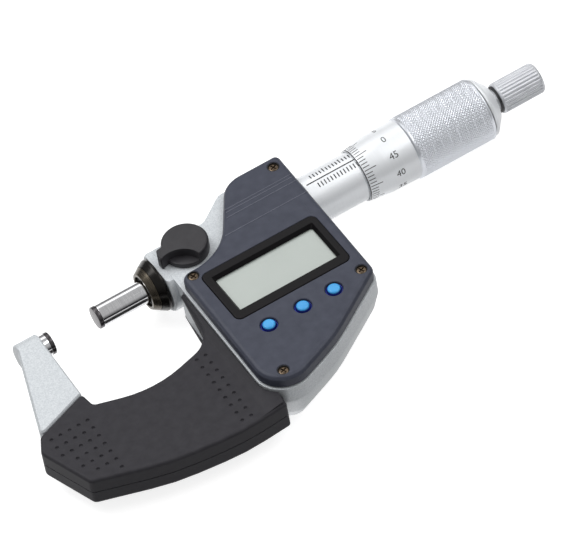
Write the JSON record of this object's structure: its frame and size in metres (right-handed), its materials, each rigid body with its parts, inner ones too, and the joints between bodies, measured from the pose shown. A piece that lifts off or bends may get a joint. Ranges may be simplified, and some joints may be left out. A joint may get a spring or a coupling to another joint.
{
  "type": "outside micrometer",
  "caption": "Digital outside micrometer, 0 to 25 mm, with display housing, lock lever, graduated thimble and ratchet stop.",
  "frame": {"origin": "centre of the anvil's measuring face", "axes": "+X along the spindle from the anvil to the ratchet, +Y away from the bow, +Z out of the display"},
  "size_m": [0.1748, 0.0729, 0.02],
  "materials": {
    "painted_cast": "fine speckled silver-grey paint",
    "ground_steel": "ground and polished steel",
    "carbide": "lapped carbide",
    "satin_chrome": "satin chrome",
    "grip_plastic": "charcoal moulded plastic",
    "black_steel": "blackened steel",
    "housing_plastic": "dark blue-grey satin plastic",
    "bezel_plastic": "black",
    "lens": "clear window",
    "lcd": "blank grey-green liquid crystal panel",
    "rubber": "black",
    "navy_rubber": "navy",
    "blue_plastic": "light blue satin",
    "board": "green solder mask",
    "brass": "plain",
    "lever_plastic": "dark charcoal satin",
    "screw_steel": "dark plated",
    "glass_epoxy": "glass epoxy with copper tracks"
  },
  "bodies": {
    "frame": {"frame": "painted_cast", "anvil": "ground_steel", "anvil_tip": "carbide", "front_grip_cover": "grip_plastic", "rear_grip_cover": "grip_plastic", "seal_nut": "black_steel", "spindle_seal": "rubber", "inner_sleeve": "ground_steel", "graduated_sleeve": "satin_chrome", "adjusting_nut": "brass", "front_housing": "housing_plastic", "housing_gasket": "rubber", "housing_screw_1": "screw_steel", "housing_screw_2": "screw_steel", "housing_screw_3": "screw_steel", "housing_screw_4": "screw_steel", "display_bezel": "bezel_plastic", "display_lens": "lens", "lcd_panel": "lcd", "zebra_strip": "rubber", "circuit_board": "board", "board_screw_1": "screw_steel", "board_screw_2": "screw_steel", "button_switch_1": "ground_steel", "button_switch_2": "ground_steel", "button_switch_3": "ground_steel", "button_membrane": "navy_rubber", "battery": "screw_steel", "battery_contact_minus": "brass", "battery_contact_plus": "brass", "encoder_stator": "glass_epoxy", "clamp_pad": "brass"},
    "encoder_rotor": {"rotor_hub": "brass", "rotor_disc": "glass_epoxy", "rotor_key": "ground_steel"},
    "spindle": {"spindle": "ground_steel", "spindle_tip": "carbide", "thimble": "satin_chrome", "thimble_cap": "satin_chrome", "ratchet_screw": "ground_steel"},
    "ratchet": {"ratchet_knob": "satin_chrome", "ratchet_clutch": "ground_steel", "ratchet_spring": "ground_steel"},
    "lock_lever": {"lock_lever": "lever_plastic", "clamp_screw": "ground_steel"},
    "origin_button": {"origin_button": "blue_plastic"},
    "zero_button": {"zero_button": "blue_plastic"},
    "hold_button": {"hold_button": "blue_plastic"},
    "cap_seal": {"cap_oring": "rubber"},
    "battery_cap": {"battery_cap": "satin_chrome"}
  },
  "joints": [
    {"name": "thimble_turn", "type": "hinge", "parent": "frame", "child": "encoder_rotor", "pos_m": [0.0668, 0, 0], "axis": [1, 0, 0], "range_deg": [-9720, 8280]},
    {"name": "spindle_feed", "type": "slide", "parent": "encoder_rotor", "child": "spindle", "axis": [1, 0, 0], "range_m": [-0.0135, 0.0115]},
    {"name": "ratchet_turn", "type": "hinge", "parent": "spindle", "child": "ratchet", "pos_m": [0.146, 0, 0], "axis": [1, 0, 0], "continuous": true},
    {"name": "lock_turn", "type": "hinge", "parent": "frame", "child": "lock_lever", "pos_m": [0.043, 0.0003, 0.0062], "axis": [0, 0, 1], "range_deg": [-75, 0]},
    {"name": "origin_press", "type": "slide", "parent": "frame", "child": "origin_button", "axis": [0, 0, -1], "range_m": [0, 0.0005], "stiffness_N_per_m": 1000},
    {"name": "zero_press", "type": "slide", "parent": "frame", "child": "zero_button", "axis": [0, 0, -1], "range_m": [0, 0.0005], "stiffness_N_per_m": 1000},
    {"name": "hold_press", "type": "slide", "parent": "frame", "child": "hold_button", "axis": [0, 0, -1], "range_m": [0, 0.0005], "stiffness_N_per_m": 1000},
    {"name": "cap_lift", "type": "slide", "parent": "frame", "child": "cap_seal", "axis": [0, 0, -1], "range_m": [0, 0.003]},
    {"name": "cap_turn", "type": "hinge", "parent": "cap_seal", "child": "battery_cap", "pos_m": [0.056, -0.028, -0.009], "axis": [0, 0, -1], "range_deg": [0, 1440]}
  ],
  "couplings": [
    {"joint": "thimble_turn", "follows": "spindle_feed", "rad_per_m": 12566},
    {"joint": "cap_turn", "follows": "cap_lift", "rad_per_m": 8377.6}
  ]
}
